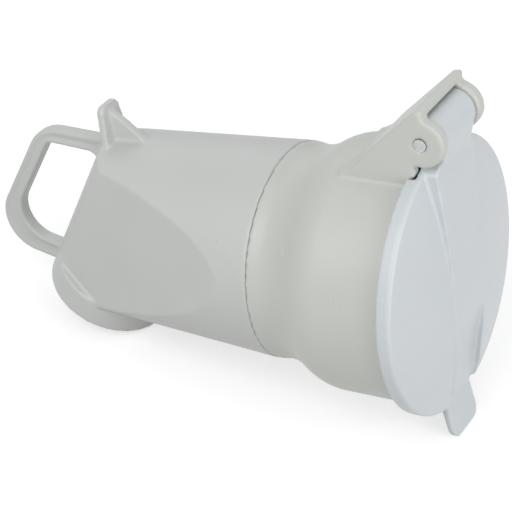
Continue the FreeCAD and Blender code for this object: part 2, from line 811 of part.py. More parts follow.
barrel_half = cheek_inner - d.barrel_side_gap
strip_top = strip_fold_height + 3.2
strip_back = -relief_foot + 0.1
strip_sketch = new_sketch(lid, "YZ_Plane", strip_back)
strip_foot = -strip_low_end
outline(strip_sketch, [
    (-d.strip_low_half, strip_foot),
    (d.strip_low_half, strip_foot),
    (d.strip_top_half, strip_fold_height),
    (barrel_half, strip_top),
    (-barrel_half, strip_top),
    (-d.strip_top_half, strip_fold_height),
])
strip_high = d.lid_dome_rise * 2
extrude(lid, "Pad", "strip", strip_sketch, strip_high - strip_back)

strip_face = d.lid_dome_rise + d.strip_rise
strip_arc = ((strip_face - d.strip_fold_forward) * (strip_face - d.strip_fold_forward)
             + strip_fold_height * strip_fold_height) / ((strip_face - d.strip_fold_forward) * 2)
upper_trim = new_sketch(lid, "XZ_Plane")
outline(upper_trim, [
    (strip_face, 0, strip_arc, -1),
    (d.strip_fold_forward, strip_fold_height),
    (d.strip_fold_forward, strip_top + 1),
    (strip_high + 1, strip_top + 1),
    (strip_high + 1, 0),
])
extrude(lid, "Pocket", "upper_trim", upper_trim, d.strip_top_half * 3, both_ways=True)

lower_trim = new_sketch(lid, "XZ_Plane")
outline(lower_trim, [
    (strip_face, 0, dome_radius, 1),
    (d.strip_rise, -dome_edge),
    (strip_high + 1, -dome_edge),
    (strip_high + 1, 0),
])
lower_groove = turn(lid, "Groove", "lower_trim", lower_trim, angle=180.0)
lower_groove.Midplane = True

# Below the middle the strip sinks into the disc as a scoop for the finger, backed from inside
scoop_half = d.strip_low_half + d.gasket_seat_depth - d.scoop_setback
backing_sketch = new_sketch(lid, "XZ_Plane")
outline(backing_sketch, [
    (d.lid_dome_rise - d.lid_wall, -d.scoop_top),
    (gasket_seat, -(seat_inner - 3)),
    (gasket_seat, -seat_inner),
    (0, -seat_inner),
    (d.lid_dome_rise - d.lid_wall / 2, -d.scoop_top),
])
extrude(lid, "Pad", "scoop_backing", backing_sketch, scoop_half * 2, both_ways=True)
scoop_sketch = new_sketch(lid, "XZ_Plane")
scoop_low = d.lid_radius + 0.2
outline(scoop_sketch, [
    (strip_face, -d.scoop_top, d.scoop_radius, -1),
    (-d.scoop_setback, -scoop_foot),
    (-(d.scoop_setback + d.lid_rim_round), -scoop_low),
    (-(d.scoop_setback + d.lid_rim_round), -(scoop_low + 2)),
    (strip_high + 1, -(scoop_low + 2)),
    (strip_high + 1, -d.scoop_top),
])
extrude(lid, "Pocket", "scoop", scoop_sketch, d.strip_low_half * 2, both_ways=True)

# The leaf rises from the strip's fold to the barrel and lies against it as a tangent
tangent_x = hinge_x + d.barrel_radius * cosine(d.leaf_lean)
tangent_z = pin_height - d.barrel_radius * sine(d.leaf_lean)
leaf_back = -relief_foot + 0.1
barrel_sketch = new_sketch(lid, "XZ_Plane")
circle(barrel_sketch, hinge_x, pin_height, d.barrel_radius)
extrude(lid, "Pad", "barrel", barrel_sketch, barrel_half * 2, both_ways=True)
leaf_sketch = new_sketch(lid, "XZ_Plane")
outline(leaf_sketch, [
    (leaf_back, strip_fold_height - 3),
    (d.strip_fold_forward - 1, strip_fold_height - 3),
    (d.strip_fold_forward, strip_fold_height),
    (tangent_x, tangent_z),
    (hinge_x, pin_height),
    (leaf_back, pin_height - d.pin_radius * 2),
])
extrude(lid, "Pad", "leaf", leaf_sketch, barrel_half * 2, both_ways=True)

# The tab hangs from the rim's lower edge, a little proud of it, and is squared off below
tab_top = -(skirt_inner + 0.1)
tab_foot = tab_top - d.tab_length
tab_front = -d.tab_setback
tab_run = d.tab_length * sine(d.tab_lean) / cosine(d.tab_lean)
tab_sketch = new_sketch(lid, "XZ_Plane")
outline(tab_sketch, [
    (tab_front, tab_top),
    (tab_front + tab_run, tab_foot),
    (tab_front + tab_run - d.tab_wall, tab_foot),
    (tab_front - d.tab_wall, tab_top),
])
extrude(lid, "Pad", "tab", tab_sketch, d.tab_half * 2, both_ways=True)
corner_sketch = new_sketch(lid, "YZ_Plane")
for side in (-1, 1):
    outline(corner_sketch, [
        (d.tab_half * side, tab_foot + d.tab_corner, d.tab_corner, side),
        ((d.tab_half - d.tab_corner) * side, tab_foot),
        ((d.tab_half - d.tab_corner) * side, tab_foot - 1),
        ((d.tab_half + 1) * side, tab_foot - 1),
        ((d.tab_half + 1) * side, tab_foot + d.tab_corner),
    ])
extrude(lid, "Pocket", "tab_corners", corner_sketch, d.tab_wall * 6, both_ways=True)

hook_sketch = new_sketch(lid, "XZ_Plane")
hook_outer = -(gasket_inner - 0.8)
outline(hook_sketch, box_outline(-d.gasket_seat_depth - d.hook_depth, 0,
                                 hook_outer, hook_outer + d.hook_wall))
extrude(lid, "Pad", "hook", hook_sketch, d.hook_half * 2, both_ways=True)

pocket_sketch = new_sketch(lid, "XZ_Plane")
pocket_radius = d.spring_pocket_radius
outline(pocket_sketch, [
    (hinge_x, pin_height + pocket_radius),
    (hinge_x - d.barrel_radius * 1.5, pin_height + pocket_radius),
    (hinge_x - d.barrel_radius * 1.5, pin_height - pocket_radius),
    (hinge_x, pin_height - pocket_radius, pocket_radius, -1),
    (hinge_x + pocket_radius, pin_height, pocket_radius, -1),
])
extrude(lid, "Pocket", "spring_pocket", pocket_sketch, d.spring_pocket_half * 2, both_ways=True)
lid_bore = new_sketch(lid, "XZ_Plane")
circle(lid_bore, hinge_x, pin_height, d.pin_radius + d.barrel_fit)
extrude(lid, "Pocket", "pin_bore", lid_bore, d.hood_half * 3, both_ways=True)

# Lid gasket: a flat rubber ring in the lid that closes on the collar's front edge
lid_gasket = turned_body("lid_gasket", [
    (gasket_seat, gasket_inner),
    (gasket_seat, skirt_inner - d.gasket_edge_gap),
    (gasket_seat - d.gasket_wall, skirt_inner - d.gasket_edge_gap),
    (gasket_seat - d.gasket_wall, gasket_inner),
])

# Hinge pin: a plain steel pin pressed through both cheeks
hinge_pin = new_body("hinge_pin")
pin_sketch = new_sketch(hinge_pin, "XZ_Plane")
circle(pin_sketch, hinge_x, pin_height, d.pin_radius)
extrude(hinge_pin, "Pad", "pin", pin_sketch, d.hood_half * 2, both_ways=True)

# Lid spring: a wound steel wire round the pin, inside the barrel, with a leg at each end
doc.recompute()
coil_radius = float(d.spring_coil_radius)
leg_length = float(d.spring_leg)
rise = float(d.spring_pitch) / math.tau
steps = round(float(d.spring_turns) * 12)
coil = []
for step in range(steps + 1):
    turned = math.tau * step / 12
    coil.append(FreeCAD.Vector(coil_radius * math.cos(turned), coil_radius * math.sin(turned),
                               rise * turned))
inward = FreeCAD.Vector(0, coil_radius, rise).normalize()
onward = FreeCAD.Vector(-coil[-1].y, coil[-1].x, rise).normalize()
wire_points = [coil[0] - inward * leg_length * share for share in (1.0, 0.66, 0.33)]
wire_points += coil
wire_points += [coil[-1] + onward * leg_length * share for share in (0.33, 0.66, 1.0)]
wire_line = Part.BSplineCurve()
wire_line.interpolate(wire_points)
wire_face = Part.Wire([Part.makeCircle(float(d.spring_wire) / 2, wire_points[0], inward)])
wound = Part.Wire([wire_line.toShape()]).makePipeShell([wire_face], True, False)
lid_spring = doc.addObject("Part::Feature", "lid_spring")
lid_spring.Label = "lid_spring"
wound.translate(FreeCAD.Vector(0, 0, -coil[-1].z / 2))
wound.rotate(FreeCAD.Vector(), FreeCAD.Vector(1, 0, 0), 90)
wound.translate(FreeCAD.Vector(float(hinge_x), 0, float(pin_height)))
lid_spring.Shape = wound

# Contact carrier: the moulded insert that stands in the socket and holds the five contacts

carrier_front = -d.carrier_setback
rear_block_radius = d.floor_lip_radius - d.rear_block_gap
screw_hole_gap = d.screw_fit * 4
contact_carrier = turned_body("contact_carrier", [
    (carrier_front, 0),
    (carrier_front, d.carrier_radius),
    (carrier_ring_back - d.carrier_play, d.carrier_radius),
    (carrier_ring_back - d.carrier_play, d.carrier_radius + d.carrier_shoulder),
    (floor_front, d.carrier_radius + d.carrier_shoulder),
    (floor_front, rear_block_radius),
    (carrier_end, rear_block_radius),
    (carrier_end, 0),
])


def contact_bore(name):
    return d.earth_bore if name == "earth_contact" else d.live_bore


def chamber_radius(name):
    return contact_bore(name) + d.sleeve_wall + d.ring_wall + d.chamber_gap


def shoulder_radius(name):
    return chamber_radius(name) + d.shoulder_wall - d.retainer_gap


face_holes = new_sketch(contact_carrier, "YZ_Plane", carrier_front)
chambers = new_sketch(contact_carrier, "YZ_Plane", carrier_end)
counterbores = new_sketch(contact_carrier, "YZ_Plane", carrier_end)
for name, angle in CONTACT_ANGLES.items():
    contact_y = d.contact_circle * cosine(angle)
    contact_z = d.contact_circle * sine(angle)
    circle(face_holes, contact_y, contact_z, contact_bore(name) + d.pin_hole_gap)
    circle(chambers, contact_y, contact_z, chamber_radius(name))
    circle(counterbores, contact_y, contact_z, chamber_radius(name) + d.shoulder_wall)
chamber_length = carrier_front - d.carrier_face_wall - carrier_end
extrude(contact_carrier, "Pocket", "face_holes", face_holes, d.carrier_face_wall * 2)
extrude(contact_carrier, "Pocket", "chambers", chambers, chamber_length, backwards=True)
extrude(contact_carrier, "Pocket", "counterbores", counterbores, d.shoulder_length, backwards=True)

centre_pilot = new_sketch(contact_carrier, "YZ_Plane", carrier_end)
circle(centre_pilot, 0, 0, d.retainer_screw_radius + d.screw_fit)
extrude(contact_carrier, "Pocket", "centre_pilot", centre_pilot, d.retainer_screw_length, backwards=True)

# Carrier ring: a flat ring screwed down on the housing's bosses, over the carrier's shoulder
carrier_ring = turned_body("carrier_ring", [
    (carrier_ring_front, d.carrier_radius + d.carrier_ring_gap),
    (carrier_ring_front, carrier_ring_radius),
    (carrier_ring_back, carrier_ring_radius),
    (carrier_ring_back, d.carrier_radius + d.carrier_ring_gap),
])
ring_holes = new_sketch(carrier_ring, "YZ_Plane", carrier_ring_front)
for angle in BOSS_ANGLES:
    circle(ring_holes, d.boss_circle * cosine(angle), d.boss_circle * sine(angle),
           d.carrier_screw_radius + screw_hole_gap)
extrude(carrier_ring, "Pocket", "screw_holes", ring_holes, d.carrier_ring_wall * 2)

# Contacts: turned brass sleeves, split at the mouth, each with a screw terminal behind

sleeve_front = -d.sleeve_setback
shoulder_front = carrier_end + d.shoulder_length
terminal_end = carrier_end - d.terminal_length
terminal_screw_x = terminal_end + d.wire_hole_depth / 2
contacts = {}
for name in CONTACT_ANGLES:
    bore = contact_bore(name)
    sleeve_radius = bore + d.sleeve_wall
    contact = turned_body(name, [
        (sleeve_front, bore),
        (sleeve_front, sleeve_radius),
        (shoulder_front, sleeve_radius),
        (shoulder_front, shoulder_radius(name)),
        (carrier_end, shoulder_radius(name)),
        (carrier_end, d.terminal_radius),
        (terminal_end, d.terminal_radius),
        (terminal_end, 0),
        (sleeve_front - d.sleeve_bore_depth, 0),
        (sleeve_front - d.sleeve_bore_depth, bore),
    ])
    slot_sketch = new_sketch(contact, "XY_Plane")
    outline(slot_sketch, box_outline(sleeve_front - d.sleeve_bore_depth + 4, sleeve_front + 1,
                                     -(d.sleeve_slot / 2), d.sleeve_slot / 2))
    extrude(contact, "Pocket", "slot", slot_sketch, sleeve_radius * 3, both_ways=True)
    wire_sketch = new_sketch(contact, "YZ_Plane", terminal_end)
    circle(wire_sketch, 0, 0, d.wire_hole)
    extrude(contact, "Pocket", "wire_hole", wire_sketch, d.wire_hole_depth, backwards=True)
    tapped_sketch = new_sketch(contact, "XY_Plane")
    circle(tapped_sketch, terminal_screw_x, 0, d.terminal_screw_radius + d.screw_fit)
    extrude(contact, "Pocket", "tapped_hole", tapped_sketch, d.terminal_radius * 2, backwards=True)
    contacts[name] = contact


def contact_place(name):
    """On the contact's own axis, with its local Z pointing away from the connector's axis."""
    angle = CONTACT_ANGLES[name]
    roll = FreeCAD.Rotation(FreeCAD.Vector(1, 0, 0), angle - 90.0)
    outward = roll.multVec(FreeCAD.Vector(0, 0, float(d.contact_circle)))
    return FreeCAD.Placement(outward, roll)


# Retainer: the plate behind the carrier that traps the contacts by their shoulders
retainer_back = carrier_end - d.retainer_wall
contact_retainer = turned_body("contact_retainer", [
    (carrier_end, 0),
    (carrier_end, d.retainer_radius),
    (retainer_back, d.retainer_radius),
    (retainer_back, 0),
])
retainer_holes = new_sketch(contact_retainer, "YZ_Plane", carrier_end)
for name, angle in CONTACT_ANGLES.items():
    circle(retainer_holes, d.contact_circle * cosine(angle), d.contact_circle * sine(angle),
           d.terminal_radius + d.retainer_gap)
circle(retainer_holes, 0, 0, d.retainer_screw_radius + d.screw_fit * 4)
extrude(contact_retainer, "Pocket", "holes", retainer_holes, d.retainer_wall * 2)

# Seal between the two housings: a rubber ring in the spigot's groove
housing_seal = new_body("housing_seal")
seal_sketch = new_sketch(housing_seal, "XZ_Plane")
circle(seal_sketch, (seal_front + seal_back) / 2, seal_floor + 0.05 + d.seal_wire / 2, d.seal_wire / 2)
turn(housing_seal, "Revolution", "ring", seal_sketch)

# Cable gland in the outlet, drawn along its own axis: nut, pressure washer and grommet

nut_high = d.nut_recess + d.nut_length
washer_low = nut_high + d.gland_play
washer_high = washer_low + d.washer_wall
grommet_low = washer_high + d.gland_play
grommet_high = d.gland_depth - d.gland_play
nut_radius = d.gland_bore - d.nut_fit
washer_radius = d.gland_bore - d.washer_gap
grommet_radius = d.gland_bore - d.grommet_gap
gland_nut = turned_body("gland_nut", [
    (d.nut_recess, d.nut_bore),
    (d.nut_recess, nut_radius),
    (nut_high, nut_radius),
    (nut_high, d.nut_bore),
])
for role in ("XY_Plane", "XZ_Plane"):
    notch_sketch = new_sketch(gland_nut, role)
    outline(notch_sketch, box_outline(d.nut_recess - 1, d.nut_recess + d.nut_notch / 2,
                                      -(d.nut_notch / 2), d.nut_notch / 2))
    extrude(gland_nut, "Pocket", "notch", notch_sketch, nut_radius * 3, both_ways=True)
gland_washer = turned_body("gland_washer", [
    (washer_low, d.nut_bore),
    (washer_low, washer_radius),
    (washer_high, washer_radius),
    (washer_high, d.nut_bore),
])
cable_grommet = turned_body("cable_grommet", [
    (grommet_low, d.grommet_bore),
    (grommet_low, grommet_radius),
    (grommet_high - 3, grommet_radius),
    (grommet_high, grommet_radius - 3),
    (grommet_high, d.grommet_bore),
])

# Cable clamp: a moulded saddle over the cable, drawn down on the two pillars

leg_low = d.pillar_gap - d.clamp_face
leg_high = leg_low + d.clamp_wall
arch_outer = d.clamp_arch + d.clamp_wall - d.pillar_gap
outer_y = root(arch_outer * arch_outer - leg_high * leg_high)
inner_y = root(d.clamp_arch * d.clamp_arch - leg_low * leg_low)
cable_clamp = new_body("cable_clamp")
clamp_sketch = new_sketch(cable_clamp, "XY_Plane", d.clamp_height)
outline(clamp_sketch, [
    (leg_low, d.clamp_half),
    (leg_high, d.clamp_half),
    (leg_high, outer_y, arch_outer, 1),
    (leg_high, -outer_y),
    (leg_high, -d.clamp_half),
    (leg_low, -d.clamp_half),
    (leg_low, -inner_y, d.clamp_arch, -1),
    (leg_low, inner_y),
])
extrude(cable_clamp, "Pad", "saddle", clamp_sketch, d.clamp_width, both_ways=True)
clamp_holes = new_sketch(cable_clamp, "YZ_Plane")
for side in (-1, 1):
    circle(clamp_holes, d.clamp_spread * side, d.clamp_height, d.clamp_screw_radius + screw_hole_gap)
extrude(cable_clamp, "Pocket", "holes", clamp_holes, leg_high * 4, both_ways=True)


# Screws and rings come as groups: each is one shape, placed where its fellows are needed

def slotted_screw(shank_radius, shank_length, head_radius, head_height):
    """A screw along local Z, its head above the origin and its shank below."""
    height = float(head_height)
    shape = Part.makeCylinder(float(shank_radius), float(shank_length), FreeCAD.Vector(0, 0, 0),
                              FreeCAD.Vector(0, 0, -1))
    head = Part.makeCylinder(float(head_radius), height)
    slot_width = float(d.drive_slot)
    span = float(head_radius) * 3
    slot = Part.makeBox(span, slot_width, height,
                        FreeCAD.Vector(-span / 2, -slot_width / 2, height / 2))
    return shape.fuse(head.cut(slot)).removeSplitter()


def aimed(shape, position, direction):
    """A copy of a shape with its local Z turned to a direction, at a position."""
    copy = shape.copy()
    copy.Placement = FreeCAD.Placement(position, FreeCAD.Rotation(FreeCAD.Vector(0, 0, 1), direction))
    return copy


def group(name, shapes):
    made = doc.addObject("Part::Feature", name)
    made.Label = name
    made.Shape = Part.makeCompound(shapes) if len(shapes) > 1 else shapes[0]
    return made


def around(radius, angle, x):
    lean = math.radians(angle)
    return FreeCAD.Vector(float(x), float(radius) * math.cos(lean), float(radius) * math.sin(lean))


forward = FreeCAD.Vector(1, 0, 0)
terminal_screw = slotted_screw(d.terminal_screw_radius, d.terminal_screw_length,
                               d.terminal_screw_head, d.head_height)
terminal_screw_base = (float(d.wire_hole) * 0.4 + float(d.terminal_screw_length))
terminal_shapes = []
ring_shapes = []
for name, angle in CONTACT_ANGLES.items():
    outward = around(1.0, angle, 0)
    seat = around(float(d.contact_circle) + terminal_screw_base, angle, terminal_screw_x)
    terminal_shapes.append(aimed(terminal_screw, seat, outward))
    ring_inner = float(contact_bore(name) + d.sleeve_wall + d.ring_gap)
    ring_outer = ring_inner + float(d.ring_wall)
    ring_front = around(d.contact_circle, angle, sleeve_front - d.ring_setback)
    ring = Part.makeCylinder(ring_outer, float(d.ring_length), ring_front, -forward)
    ring = ring.cut(Part.makeCylinder(ring_inner, float(d.ring_length), ring_front, -forward))
    gap = Part.makeBox(float(d.ring_length) * 3, ring_outer * 2, float(d.sleeve_slot))
    gap.translate(FreeCAD.Vector(-float(d.ring_length) * 2, 0, -float(d.sleeve_slot) / 2))
    gap.rotate(FreeCAD.Vector(), forward, angle)
    gap.translate(ring_front)
    ring_shapes.append(ring.cut(gap))
terminal_screws = group("terminal_screws", terminal_shapes)
sleeve_rings = group("sleeve_rings", ring_shapes)

carrier_screw = slotted_screw(d.carrier_screw_radius, d.carrier_screw_length,
                              d.carrier_screw_head, d.head_height)
carrier_screws = group("carrier_screws", [
    aimed(carrier_screw, around(d.boss_circle, angle, carrier_ring_front), forward)
    for angle in BOSS_ANGLES])
retainer_screw = group("retainer_screw", [
    aimed(slotted_screw(d.retainer_screw_radius, d.retainer_screw_length,
                        d.retainer_screw_head, d.head_height),
          FreeCAD.Vector(float(retainer_back), 0, 0), -forward)])
housing_screw = slotted_screw(d.housing_screw_radius, seat_face - float(d.throat_radius) - 0.3,
                              d.housing_screw_head, d.housing_head_height)
housing_screws = group("housing_screws", [
    aimed(housing_screw, FreeCAD.Vector(seam_x - float(d.housing_screw_setback), 0, 0)
          + housing_screw_axis(side) * seat_face, housing_screw_axis(side))
    for side in (-1, 1)])
clamp_screw = slotted_screw(d.clamp_screw_radius, d.clamp_screw_length,
                            d.clamp_screw_head, d.head_height)
outlet_centre, outlet_axis, outlet_across = outlet_frame()
clamp_screws = group("clamp_screws", [
    aimed(clamp_screw, outlet_centre + outlet_axis * float(d.clamp_height)
          + outlet_across * float(leg_high)
          + FreeCAD.Vector(0, side * float(d.clamp_spread), 0), outlet_across)
    for side in (-1, 1)])
doc.recompute()

# Every piece takes its own place, and then the one in which the whole connector rests

own_place = {name: contact_place(name) for name in CONTACT_ANGLES}
gland_place = outlet_placement().multiply(
    FreeCAD.Placement(FreeCAD.Vector(), FreeCAD.Rotation(FreeCAD.Vector(0, 1, 0), -90)))
for name in ("gland_nut", "gland_washer", "cable_grommet"):
    own_place[name] = gland_place
own_place["cable_clamp"] = outlet_placement()

pieces = [
    front_housing, rear_housing, contact_carrier, carrier_ring, contact_retainer, housing_seal,
    *contacts.values(), sleeve_rings, terminal_screws, carrier_screws, retainer_screw,
    housing_screws, gland_nut, gland_washer, cable_grommet, cable_clamp, clamp_screws,
    hinge_pin, lid, lid_gasket, lid_spring,
]
outlet_rim = outlet_centre + outlet_across * float(d.outlet_radius)
tab_tip = FreeCAD.Vector(float(tab_front + tab_run - d.tab_wall), 0, float(tab_foot))
pitch = math.degrees(math.atan2(outlet_rim.z - tab_tip.z, tab_tip.x - outlet_rim.x))
resting = FreeCAD.Placement(FreeCAD.Vector(), FreeCAD.Rotation(FreeCAD.Vector(0, 1, 0), -pitch))
low_x = 0.0
high_x = 0.0
for piece in pieces:
    place = own_place.get(piece.Label, FreeCAD.Placement())
    piece.Placement = resting.multiply(place).multiply(piece.Placement)
    if piece in (rear_housing, front_housing, lid):
        box = piece.Shape.optimalBoundingBox(False)
        low_x = min(low_x, box.XMin)
        high_x = max(high_x, box.XMax)
shift = FreeCAD.Vector(-(low_x + high_x) / 2, 0, -resting.multVec(tab_tip).z)
for piece in pieces:
    piece.Placement = FreeCAD.Placement(shift, FreeCAD.Rotation()).multiply(piece.Placement)
doc.recompute()
print("pitch", round(pitch, 4), "shift", round(shift.x, 4), round(shift.z, 4))

faults = [f"{thing.Name}: {thing.State}" for thing in doc.Objects
          if "Invalid" in thing.State or "Error" in thing.State]
faults += [piece.Label for piece in pieces if piece.Shape.isNull() or not piece.Shape.isValid()]
if faults:
    raise RuntimeError("faulty pieces: " + ", ".join(faults))

os.makedirs("parts", exist_ok=True)
for piece in pieces:
    piece.Shape.exportStep(f"parts/{piece.Label}.step")
    print(piece.Label, len(piece.Shape.Solids), round(piece.Shape.Volume, 1))
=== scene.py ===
import bpy, bmesh, json, math
import numpy as np
from mathutils import Matrix, Vector


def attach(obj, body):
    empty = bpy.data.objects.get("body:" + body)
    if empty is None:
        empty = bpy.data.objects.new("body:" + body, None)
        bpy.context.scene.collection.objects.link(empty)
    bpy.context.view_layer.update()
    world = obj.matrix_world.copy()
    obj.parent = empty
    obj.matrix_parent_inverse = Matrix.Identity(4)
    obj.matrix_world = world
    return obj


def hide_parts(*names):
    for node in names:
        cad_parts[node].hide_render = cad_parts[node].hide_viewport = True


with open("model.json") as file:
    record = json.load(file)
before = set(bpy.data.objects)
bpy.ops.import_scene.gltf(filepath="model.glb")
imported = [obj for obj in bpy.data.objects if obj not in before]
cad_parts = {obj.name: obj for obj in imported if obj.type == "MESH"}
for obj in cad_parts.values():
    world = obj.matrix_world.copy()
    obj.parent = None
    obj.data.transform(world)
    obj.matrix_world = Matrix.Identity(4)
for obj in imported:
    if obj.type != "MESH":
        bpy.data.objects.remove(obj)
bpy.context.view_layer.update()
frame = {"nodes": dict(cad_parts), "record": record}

# The view: a long lens looks down on the lid and the near side from the front right. It is set
# in the connector's own frame, +X along the socket's axis to the lid, which lies pitched up on
# the table. The earth contact's bore, of which both places are known, ties the two together.
earth_bore = [m for m in frame["record"]["mounts"] if m["name"] == "earth_socket"][0]
earth_place = Vector((-0.0207, 0, -0.0205))
pitch = math.atan2(earth_bore["axis"][2], earth_bore["axis"][0])
pitched = Matrix.Rotation(-pitch, 4, "Y")
rest = Matrix.Translation(Vector(earth_bore["pos_m"]) - pitched @ earth_place) @ pitched


def on_table(x, y, z):
    """A place in the connector's own frame, in millimetres, as a place on the table in metres."""
    return rest @ Vector((x / 1000, y / 1000, z / 1000))


camera = bpy.data.objects.new("view", bpy.data.cameras.new("view"))
bpy.context.scene.collection.objects.link(camera)
right = rest.to_3x3() @ Vector((0.867119, 0.482889, -0.122156))
up = rest.to_3x3() @ Vector((-0.150987, 0.488525, 0.859387))
right.normalize()
up = (up - up.dot(right) * right).normalized()
back = right.cross(up)
turn = Matrix((right, up, back)).transposed().to_4x4()
camera.matrix_world = Matrix.Translation(on_table(242.222, -481.169, 323.144)) @ turn
camera.data.lens = 36 * 2000 / 512
camera.data.sensor_width = 36
camera.data.clip_start = 0.05
camera.data.clip_end = 20
bpy.context.scene.camera = camera
bpy.context.scene.view_settings.view_transform = "Standard"

# The table and the light: a white sweep, a large soft lamp above on the left and two weak fills.
table_mesh = bpy.data.meshes.new("table")
table_mesh.from_pydata([(-4, -4, 0), (4, -4, 0), (4, 4, 0), (-4, 4, 0)], [], [(0, 1, 2, 3)])
table = bpy.data.objects.new("table", table_mesh)
bpy.context.scene.collection.objects.link(table)
table_paint = bpy.data.materials.new("table_paper")
table_paint.use_nodes = True
nodes, links = table_paint.node_tree.nodes, table_paint.node_tree.links
nodes.clear()
paper = nodes.new("ShaderNodeBsdfDiffuse")
paper.inputs["Color"].default_value = (0.55, 0.55, 0.55, 1)
glow = nodes.new("ShaderNodeEmission")
seen = nodes.new("ShaderNodeLightPath")
either = nodes.new("ShaderNodeMath")
either.operation = "MAXIMUM"
links.new(seen.outputs["Is Camera Ray"], either.inputs[0])
links.new(seen.outputs["Is Glossy Ray"], either.inputs[1])
share = nodes.new("ShaderNodeMath")
share.operation = "MULTIPLY"
share.inputs[1].default_value = 0.60
links.new(either.outputs[0], share.inputs[0])
links.new(share.outputs[0], glow.inputs["Strength"])
both = nodes.new("ShaderNodeAddShader")
links.new(paper.outputs[0], both.inputs[0])
links.new(glow.outputs[0], both.inputs[1])
out = nodes.new("ShaderNodeOutputMaterial")
links.new(both.outputs[0], out.inputs["Surface"])
table.data.materials.append(table_paint)

world = bpy.data.worlds.new("studio")
bpy.context.scene.world = world
world.use_nodes = True
world.node_tree.nodes["Background"].inputs["Color"].default_value = (0.97, 0.98, 1.0, 1)
nodes, links = world.node_tree.nodes, world.node_tree.links
sky_seen = nodes.new("ShaderNodeLightPath")
sky_either = nodes.new("ShaderNodeMath")
sky_either.operation = "MAXIMUM"
links.new(sky_seen.outputs["Is Camera Ray"], sky_either.inputs[0])
links.new(sky_seen.outputs["Is Glossy Ray"], sky_either.inputs[1])
sky_level = nodes.new("ShaderNodeMapRange")
sky_level.inputs["To Min"].default_value = 0.50
sky_level.inputs["To Max"].default_value = 1.0
links.new(sky_either.outputs[0], sky_level.inputs["Value"])
links.new(sky_level.outputs["Result"], nodes["Background"].inputs["Strength"])
for name, place, size, power in (("key_lamp", (-0.10, -0.74, 0.70), 0.7, 4.2),
                                 ("front_lamp", (0.95, -0.25, 0.40), 0.7, 4.3),
                                 ("back_lamp", (-0.6, 0.7, 0.7), 0.7, 1.2)):
    lamp = bpy.data.objects.new(name, bpy.data.lights.new(name, "AREA"))
    bpy.context.scene.collection.objects.link(lamp)
    lamp.data.size = size
    lamp.data.energy = power
    lamp.location = place
    lamp.rotation_mode = "QUATERNION"
    lamp.rotation_quaternion = (Vector((0, 0, 0.05)) - Vector(place)).to_track_quat("-Z", "Y")

# The front shell: the socket's moulding in pale plastic, flared from the waist to the collar, with
# the hood and its two cheeks that carry the hinge pin. The mould leaves all its edges round.


def moulded_plastic(name, colour, grain, shine):
    """Pale satin plastic: a fine moulded grain, faint clouding, scuffs and a few dark specks."""
    plastic = bpy.data.materials.new(name)
    plastic.use_nodes = True
    tree = plastic.node_tree
    made, joined = tree.nodes, tree.links
    skin = made["Principled BSDF"]
    where = made.new("ShaderNodeTexCoord")
    # faint clouding of the colour
    cloud = made.new("ShaderNodeTexNoise")
    cloud.inputs["Scale"].default_value = 38
    cloud.inputs["Detail"].default_value = 4
    joined.new(where.outputs["Object"], cloud.inputs["Vector"])
    tint = made.new("ShaderNodeValToRGB")
    tint.color_ramp.elements[0].position = 0.3
    tint.color_ramp.elements[1].position = 0.72
    tint.color_ramp.elements[0].color = (*[c * 0.965 for c in colour], 1)
    tint.color_ramp.elements[1].color = (*colour, 1)
    joined.new(cloud.outputs["Fac"], tint.inputs["Fac"])
    # a few dark specks moulded in
    dirt = made.new("ShaderNodeTexNoise")
    dirt.inputs["Scale"].default_value = 430
    dirt.inputs["Detail"].default_value = 2
    joined.new(where.outputs["Object"], dirt.inputs["Vector"])
    speck = made.new("ShaderNodeValToRGB")
    speck.color_ramp.elements[0].position = 0.745
    speck.color_ramp.elements[0].color = (0, 0, 0, 1)
    speck.color_ramp.elements[1].position = 0.79
    speck.color_ramp.elements[1].color = (0.45, 0.45, 0.45, 1)
    joined.new(dirt.outputs["Fac"], speck.inputs["Fac"])
    dirty = made.new("ShaderNodeMix")
    dirty.data_type = "RGBA"
    joined.new(speck.outputs["Color"], dirty.inputs["Factor"])
    joined.new(tint.outputs["Color"], dirty.inputs["A"])
    dirty.inputs["B"].default_value = (*[c * 0.62 for c in colour], 1)
    joined.new(dirty.outputs["Result"], skin.inputs["Base Color"])
    # the gloss rubbed unevenly by hands
    rub = made.new("ShaderNodeTexNoise")
    rub.inputs["Scale"].default_value = 90
    rub.inputs["Detail"].default_value = 6
    rub.inputs["Roughness"].default_value = 0.7
    joined.new(where.outputs["Object"], rub.inputs["Vector"])
    gloss = made.new("ShaderNodeMapRange")
    gloss.inputs["To Min"].default_value = shine - 0.06
    gloss.inputs["To Max"].default_value = shine + 0.08
    joined.new(rub.outputs["Fac"], gloss.inputs["Value"])
    joined.new(gloss.outputs["Result"], skin.inputs["Roughness"])
    # the mould's fine grain, over slight sink marks
    fine = made.new("ShaderNodeTexNoise")
    fine.inputs["Scale"].default_value = 2600
    fine.inputs["Detail"].default_value = 2
    joined.new(where.outputs["Object"], fine.inputs["Vector"])
    bump = made.new("ShaderNodeBump")
    bump.inputs["Strength"].default_value = grain
    bump.inputs["Distance"].default_value = 0.00008
    joined.new(fine.outputs["Fac"], bump.inputs["Height"])
    sink = made.new("ShaderNodeTexNoise")
    sink.inputs["Scale"].default_value = 60
    sink.inputs["Detail"].default_value = 1
    joined.new(where.outputs["Object"], sink.inputs["Vector"])
    wave = made.new("ShaderNodeBump")
    wave.inputs["Strength"].default_value = 0.08
    wave.inputs["Distance"].default_value = 0.0006
    joined.new(sink.outputs["Fac"], wave.inputs["Height"])
    joined.new(bump.outputs["Normal"], wave.inputs["Normal"])
    joined.new(wave.outputs["Normal"], skin.inputs["Normal"])
    skin.inputs["IOR"].default_value = 1.5
    return plastic


